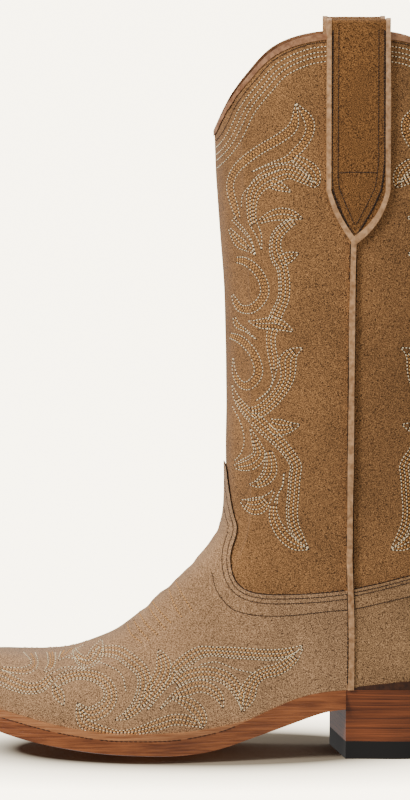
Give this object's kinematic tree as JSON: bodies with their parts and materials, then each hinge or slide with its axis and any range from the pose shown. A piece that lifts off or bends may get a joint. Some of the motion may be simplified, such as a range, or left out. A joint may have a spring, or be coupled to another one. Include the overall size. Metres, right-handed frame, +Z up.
{
  "type": "cowboy boot",
  "caption": "Pull-on western boot in tan suede with a scalloped shaft, stitched panels, piped pull straps, welted leather sole and stacked heel.",
  "frame": {"origin": "on the floor under the middle of the boot's box, between toe tip and back of the shaft", "axes": "+X from toe to heel, +Y towards the inner side of the foot, +Z up along the shaft"},
  "size_m": [0.2928, 0.1, 0.3682],
  "materials": {
    "suede": "napped suede",
    "lining": "smooth, matte",
    "sole_leather": "waxed edge, satin",
    "insole_leather": "raw",
    "rand_leather": "polished",
    "stacked_leather": "burnished edge",
    "rubber": "matte",
    "piping": "smooth, satin",
    "binding": "smooth, satin",
    "brass": "dull",
    "steel": "satin",
    "peg_wood": "oiled",
    "cork": "granular",
    "stiffener": "matte",
    "backer_cloth": "twill"
  },
  "bodies": {
    "root": {"cork_filler": "cork", "counter_cover": "suede", "footbed": "lining", "heel_lift_1": "stacked_leather", "heel_lift_2": "stacked_leather", "heel_lift_3": "stacked_leather", "heel_lift_4": "stacked_leather", "heel_lift_5": "stacked_leather", "heel_lift_6": "stacked_leather", "heel_lining": "lining", "heel_nails": "brass", "heel_seat_rand": "rand_leather", "heel_stiffener": "stiffener", "insole": "insole_leather", "outsole": "sole_leather", "pull_strap_inner": "suede", "pull_strap_outer": "suede", "rim_binding": "binding", "shaft_back": "suede", "shaft_front": "suede", "shaft_lining_back": "lining", "shaft_lining_front": "lining", "shank": "steel", "shank_pegs": "peg_wood", "side_piping_inner": "piping", "side_piping_outer": "piping", "strap_piping_inner": "piping", "strap_piping_outer": "piping", "toe_puff": "stiffener", "top_lift": "rubber", "vamp": "suede", "vamp_backer": "backer_cloth", "vamp_lining": "lining", "welt": "sole_leather"}
  },
  "joints": []
}
